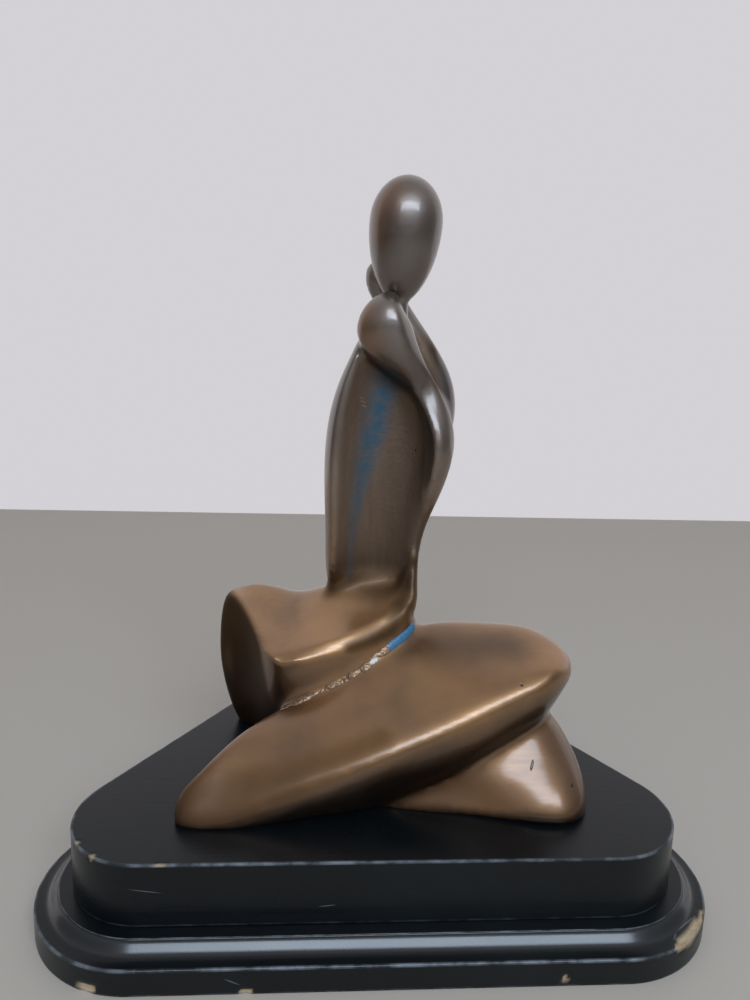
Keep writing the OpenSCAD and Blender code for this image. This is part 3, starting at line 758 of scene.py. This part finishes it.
def turned_board(name, profile, turn_steps=96, run_cuts=159):
    """A closed board: its profile turned about three corners and run straight between them."""
    shape = bmesh.new()
    # Each point keeps its edge's wear and painted highlight from the profile
    wear_and_glint = shape.verts.layers.float.new("wear_and_glint")
    firsts, lasts = [], []
    for k in range(3):
        facing = math.radians(90 + 120 * k)
        centre = PLAN_CENTRE + CORNER_SPACING / math.sqrt(3) * Vector((math.cos(facing), math.sin(facing), 0))
        start = facing - math.radians(60)
        outward = Vector((math.cos(start), math.sin(start), 0))
        line = []
        for reach, height, worn_and_glinting in filled_out(profile, PROFILE_GAP):
            vert = shape.verts.new(centre + reach * outward + Vector((0, 0, height)))
            vert[wear_and_glint] = worn_and_glinting
            line.append(vert)
        edges = [shape.edges.new(pair) for pair in zip(line, line[1:])]
        turned = bmesh.ops.spin(
            shape, geom=line + edges, cent=centre, axis=(0, 0, 1), angle=math.radians(120),
            steps=turn_steps, use_merge=False)
        firsts.append(edges)
        lasts.append([e for e in turned["geom_last"] if isinstance(e, bmesh.types.BMEdge)])
    for k in range(3):
        run = bmesh.ops.bridge_loops(shape, edges=lasts[k] + firsts[(k + 1) % 3])
        long_edges = [e for e in run["edges"] if e.calc_length() > CORNER_SPACING / 2]
        bmesh.ops.subdivide_edges(shape, edges=long_edges, cuts=run_cuts, use_grid_fill=True)
    bmesh.ops.holes_fill(shape, edges=[e for e in shape.edges if e.is_boundary], sides=0)
    bmesh.ops.recalc_face_normals(shape, faces=shape.faces)
    for face in shape.faces:
        face.smooth = True
        if len(face.verts) > 4:
            for edge in face.edges:
                edge.smooth = False
    return link(name, to_mesh(name, shape))


def chip(piece):
    """Breaks the chips out of a board, and marks the wood that they bare and the moulding's gloss."""
    skin = Skin(piece.data)
    ragged = np.array([noise.noise(Vector(p) / (CHIP_SPACING * MM)) for p in skin.points])
    bare = np.zeros(len(skin.points))
    for place, sizes in CHIPS:
        gap = np.linalg.norm((skin.points / MM - place) / sizes, axis=1)
        bare = np.maximum(bare, soft_step(1 - gap + 0.3 * ragged, 0, 0.35))
    corner = along(skin.points / MM, CHIPPED_CORNER) * (1 + 0.5 * ragged)
    bare = np.maximum(bare, soft_step(corner, 0.05, 0.25))
    skin.points -= CHIP_DEPTH * MM * (bare * (1 + 0.5 * ragged))[:, None] * skin.normals()
    skin.store()
    skin.mark("bare", bare)
    rolled = soft_step(np.abs(skin.normals()[:, 2] - 0.72), 0.25, 0.1)
    skin.mark("gloss", rolled * soft_step(skin.points[:, 2], BOARD_TOP + MM, BOARD_TOP) * (1 - bare))


def bored(piece):
    """Cuts the fixings' pockets and holes out of a board."""
    cuts = []
    for stud, washer in zip(STUDS, WASHERS):
        low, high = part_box(stud)
        size = high.x - low.x
        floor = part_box(washer)[1].z
        middle = (low + high) / 2
        pocket, bore = POCKET_SHARE * size, size + STUD_PLAY
        cuts.append((middle, pocket, pocket, -RUN_PAST, floor))
        cuts.append((middle, bore, bore, floor - RUN_PAST, PLINTH_TOP + RUN_PAST))
    for screw in SCREWS:
        low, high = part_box(screw)
        head = high.x - low.x
        shank = head / 2
        middle = (low + high) / 2
        cuts.append((middle, head + HEAD_PLAY, shank + NECK_PLAY, -SCREW_RUN_PAST, head / 4))
        cuts.append((middle, shank + SHANK_PLAY, shank + SHANK_PLAY, 0, high.z + SCREW_RUN_PAST))
    cutters = []
    for middle, wide, narrow, low, high in cuts:
        shape = bmesh.new()
        place = Matrix.Translation((middle.x, middle.y, (low + high) / 2))
        bmesh.ops.create_cone(
            shape, cap_ends=True, segments=BORE_SEGMENTS, radius1=wide / 2, radius2=narrow / 2,
            depth=high - low, matrix=place)
        cutter = link("cutter", to_mesh("cutter", shape))
        drill = piece.modifiers.new("Bore", "BOOLEAN")
        drill.operation = "DIFFERENCE"
        drill.object = cutter
        cutters.append(cutter)
    freeze(piece)
    for cutter in cutters:
        bpy.data.objects.remove(cutter)


def board_profile(settings):
    """The lower board from its underside, up its side, in along the moulding and on to the ledge."""
    ledge = CORNER_RADIUS + settings.ledge
    run = BOARD_RADIUS - ledge
    height = BOARD_TOP - settings.fillet
    curve = [(ledge, height, 0)]
    for (near, steep), (far, steeper) in zip(MOULDING_SLOPES, MOULDING_SLOPES[1:]):
        height -= (far - near) * run * math.tan(math.radians((steep + steeper) / 2))
        curve.append((ledge + far * run, height, 0))
    curve[-1] = (BOARD_RADIUS, height, 1.0)
    return rounded([
        (BOARD_RADIUS - FLAT_LIP, 0, 0), (BOARD_RADIUS, 0, 0.3), *reversed(curve),
        (ledge, BOARD_TOP, 0.8), (ledge - FLAT_LIP, BOARD_TOP, 0)], settings.edge)


def plinth_profile(settings):
    """The upper plinth from the ledge up and in over its top edge."""
    return rounded([
        (CORNER_RADIUS - FLAT_LIP, BOARD_TOP, 0), (CORNER_RADIUS, BOARD_TOP, 0.3),
        (CORNER_RADIUS, PLINTH_TOP, 1.0), (CORNER_RADIUS - FLAT_LIP, PLINTH_TOP, 0)], settings.edge)


def black_paint(settings):
    """Brushed satin black paint on wood: dark, with a clear soft gloss, rubbed grey along the edges, where a
    painted highlight lightens it too.

    Bare wood shows in the chips, and hairline scratches are pale."""
    material, tree, shader, coords = new_material("satin_black_paint")
    wear_and_glint, bare = [
        add(tree, "ShaderNodeAttribute", attribute_name=name).outputs["Fac"] for name in ("wear_and_glint", "bare")]
    # Pale grey on the rounded edges, patchy along them: worn paint and a painted highlight together
    patch = add(tree, "ShaderNodeTexNoise", {"Vector": coords, "Scale": 1 / (7 * MM), "Detail": 6.0})
    rubbed = add(tree, "ShaderNodeMapRange", {
        "Value": patch.outputs["Fac"], "From Min": 0.4, "From Max": 0.65, "To Min": 0.08, "To Max": 0.65})
    edge = add(tree, "ShaderNodeMath", {0: wear_and_glint, 1: rubbed.outputs[0]}, operation="MULTIPLY")
    haze = add(tree, "ShaderNodeTexNoise", {"Vector": coords, "Scale": 1 / (45 * MM), "Detail": 4.0})
    dusty = add(tree, "ShaderNodeMapRange", {
        "Value": haze.outputs["Fac"], "From Min": 0.45, "From Max": 0.75, "To Max": 0.25})
    fibres = add(tree, "ShaderNodeMapping", {
        "Vector": coords, "Scale": (1 / (22 * MM), 1 / (1.4 * MM), 1 / (1.4 * MM))})
    grain = add(tree, "ShaderNodeTexNoise", {"Vector": fibres.outputs[0], "Scale": 1.0, "Detail": 4.0})
    wood = add(tree, "ShaderNodeMix", {
        0: grain.outputs["Fac"], 6: settings.timber, 7: settings.heart}, data_type="RGBA")
    scratched = add(tree, "ShaderNodeMath", {
        0: marks(tree, coords, PAINT_SCRATCHES), 1: 0.4}, operation="MULTIPLY").outputs[0]
    skin = settings.paint
    for share, colour in (
            (dusty.outputs[0], settings.dust), (edge.outputs[0], settings.worn_and_glinting),
            (scratched, settings.worn_and_glinting), (bare, wood.outputs[2])):
        skin = add(tree, "ShaderNodeMix", {0: share, 6: skin, 7: colour}, data_type="RGBA").outputs[2]
    tree.links.new(skin, shader.inputs["Base Color"])
    rough = add(tree, "ShaderNodeMapRange", {
        "Value": haze.outputs["Fac"], "From Min": 0.3, "From Max": 0.7,
        "To Min": 0.24, "To Max": 0.34}).outputs[0]
    for share, value in ((scratched, 0.6), (bare, 0.75)):
        rough = add(tree, "ShaderNodeMix", {0: share, 2: rough, 3: value}).outputs[0]
    tree.links.new(rough, shader.inputs["Roughness"])
    shader.inputs["Specular IOR Level"].default_value = 0.3
    gloss = add(tree, "ShaderNodeAttribute", attribute_name="gloss").outputs["Fac"]
    tree.links.new(gloss, shader.inputs["Coat Weight"])
    shader.inputs["Coat Roughness"].default_value = 0.19
    bump = add(tree, "ShaderNodeBump", {
        "Strength": 1.0, "Distance": 0.05 * MM, "Height": grain.outputs["Fac"]})
    tree.links.new(bump.outputs[0], shader.inputs["Normal"])
    return material


class STATUETTE_OT_base(bpy.types.Operator):
    """Turns, chips, bores and paints the two boards of the base"""

    bl_idname = "statuette.base"
    bl_label = "Base"

    def execute(self, context):
        settings = context.scene.statuette_base
        paint = black_paint(settings)
        boards = {
            "painted_board": (board_profile(settings), "lower_board"),
            "painted_plinth": (plinth_profile(settings), "upper_plinth")}
        for name, (profile, node) in boards.items():
            board = turned_board(name, profile)
            chip(board)
            bored(board)
            dress(board, paint, "painted_wood", node)
        return {"FINISHED"}


# Fixings


def plated_steel(settings):
    """Zinc-plated steel: pale grey, softly mirroring, with a crystalline cloud in the plating."""
    material, tree, shader, coords = new_material("zinc_plated_steel")
    cloud = add(tree, "ShaderNodeTexVoronoi", {"Vector": coords, "Scale": 1 / (1.5 * MM)})
    # The plating's cloud borrows the paint's pale edge grey as its second colour
    skin = add(tree, "ShaderNodeMix", {
        0: cloud.outputs["Distance"], 6: settings.zinc, 7: settings.worn_and_glinting}, data_type="RGBA")
    tree.links.new(skin.outputs[2], shader.inputs["Base Color"])
    shader.inputs["Metallic"].default_value = 1.0
    rough = add(tree, "ShaderNodeMapRange", {
        "Value": cloud.outputs["Distance"], "To Min": 0.28, "To Max": 0.45})
    tree.links.new(rough.outputs[0], shader.inputs["Roughness"])
    return material


class STATUETTE_OT_fixings(bpy.types.Operator):
    """Plates the studs, washers, nuts and screws"""

    bl_idname = "statuette.fixings"
    bl_label = "Fixings"

    def execute(self, context):
        steel = plated_steel(context.scene.statuette_base)
        for node in (*STUDS, *WASHERS, *NUTS, *SCREWS):
            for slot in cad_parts[node].material_slots:
                slot.material = steel
        return {"FINISHED"}


# Stage


def stage_sheet(name, place, upright, material):
    """A large flat sheet that isn't part of the object."""
    shape = bmesh.new()
    bmesh.ops.create_grid(shape, x_segments=1, y_segments=1, size=STAGE_REACH)
    if upright:
        bmesh.ops.rotate(shape, verts=shape.verts, matrix=Matrix.Rotation(math.pi / 2, 3, "X"))
    bmesh.ops.translate(shape, verts=shape.verts, vec=place)
    sheet = link(name, to_mesh(name, shape))
    sheet.data.materials.append(material)


def pale_wall(settings):
    """Matt painted wall, shown at its written colour to the camera and in the metal."""
    material, tree, shader, _ = new_material("pale_wall")
    shader.inputs["Base Color"].default_value = settings.wall
    shader.inputs["Roughness"].default_value = 0.9
    glow = add(tree, "ShaderNodeEmission", {"Color": settings.wall, "Strength": 1.0})
    path = add(tree, "ShaderNodeLightPath")
    seen = add(tree, "ShaderNodeMath", {
        0: path.outputs["Is Camera Ray"], 1: path.outputs["Is Glossy Ray"]}, operation="MAXIMUM")
    mixed = add(tree, "ShaderNodeMixShader", {0: seen.outputs[0], 1: shader.outputs[0], 2: glow.outputs[0]})
    tree.links.new(mixed.outputs[0], tree.nodes["Material Output"].inputs["Surface"])
    return material


def pale_floor(settings):
    """Matt laminate floor."""
    material, _, shader, _ = new_material("pale_floor")
    shader.inputs["Base Color"].default_value = settings.floor
    shader.inputs["Roughness"].default_value = 0.6
    return material


def room_light(settings):
    """A room that is brighter overhead than at eye level."""
    world = bpy.data.worlds.new("room_light")
    world.use_nodes = True
    tree = world.node_tree
    way = add(tree, "ShaderNodeTexCoord")
    place = add(tree, "ShaderNodeSeparateXYZ", {0: way.outputs["Generated"]})
    rise = add(tree, "ShaderNodeMapRange", {"Value": place.outputs["Z"], "From Min": 0.0, "From Max": 0.8})
    sky = add(tree, "ShaderNodeMix", {
        0: rise.outputs[0], 6: settings.horizon, 7: settings.zenith}, data_type="RGBA")
    tree.links.new(sky.outputs[2], tree.nodes["Background"].inputs["Color"])
    return world


class STATUETTE_OT_stage(bpy.types.Operator):
    """Sets the floor, the backdrop, the room light, the window lamp and the camera"""

    bl_idname = "statuette.stage"
    bl_label = "Stage"

    def execute(self, context):
        scene = context.scene
        settings = scene.statuette_stage
        stage_sheet("floor", (0, 0, 0), False, pale_floor(settings))
        stage_sheet("backdrop", (0, settings.distance, 0), True, pale_wall(settings))
        scene.world = room_light(settings)

        lamp = bpy.data.lights.new("window_lamp", "AREA")
        lamp.shape = "RECTANGLE"
        lamp.size = WINDOW_WIDTH
        lamp.size_y = WINDOW_HEIGHT
        lamp.energy = settings.power
        lamp.color = settings.window[:3]
        window = bpy.data.objects.new("window_lamp", lamp)
        window.location = WINDOW_PLACE
        aim = Vector(WINDOW_AIM) - window.location
        window.rotation_euler = aim.to_track_quat("-Z", "Y").to_euler()
        scene.collection.objects.link(window)

        view = bpy.data.cameras.new("camera")
        view.sensor_fit = "VERTICAL"
        view.sensor_height = SENSOR_HEIGHT
        view.lens = LENS
        view.clip_start = NEAR_CLIP
        camera = bpy.data.objects.new("camera", view)
        camera.location = CAMERA_PLACE
        camera.rotation_euler = [math.radians(a) for a in CAMERA_TURN]
        scene.collection.objects.link(camera)
        scene.camera = camera
        scene.view_settings.view_transform = "Standard"
        return {"FINISHED"}


class STATUETTE_PT_sidebar(bpy.types.Panel):
    """Lists the steps that build the statuette"""

    bl_idname = "STATUETTE_PT_sidebar"
    bl_label = "Statuette"
    bl_space_type = "VIEW_3D"
    bl_region_type = "UI"
    bl_category = "Statuette"

    def draw(self, context):
        for group, kind in SETTINGS.items():
            settings = getattr(context.scene, group)
            for name in kind.__annotations__:
                self.layout.prop(settings, name)
        for step in OPERATORS:
            self.layout.operator(step.bl_idname)


SETTINGS = {
    "statuette_figure": FigureSettings, "statuette_base": BaseSettings, "statuette_stage": StageSettings}
OPERATORS = (
    STATUETTE_OT_castings, STATUETTE_OT_weld, STATUETTE_OT_base, STATUETTE_OT_fixings, STATUETTE_OT_stage)
CLASSES = (*SETTINGS.values(), *OPERATORS, STATUETTE_PT_sidebar)


def register():
    """Makes the settings, the steps and the panel known to Blender."""
    for kind in CLASSES:
        bpy.utils.register_class(kind)
    for name, kind in SETTINGS.items():
        setattr(bpy.types.Scene, name, PointerProperty(type=kind))


def unregister():
    """Takes back what register did."""
    for name in SETTINGS:
        delattr(bpy.types.Scene, name)
    for kind in reversed(CLASSES):
        bpy.utils.unregister_class(kind)


def main():
    """Builds the statuette and its stage."""
    register()
    bpy.ops.statuette.castings()
    bpy.ops.statuette.weld()
    bpy.ops.statuette.base()
    bpy.ops.statuette.fixings()
    bpy.ops.statuette.stage()


if __name__ == "__main__":
    main()
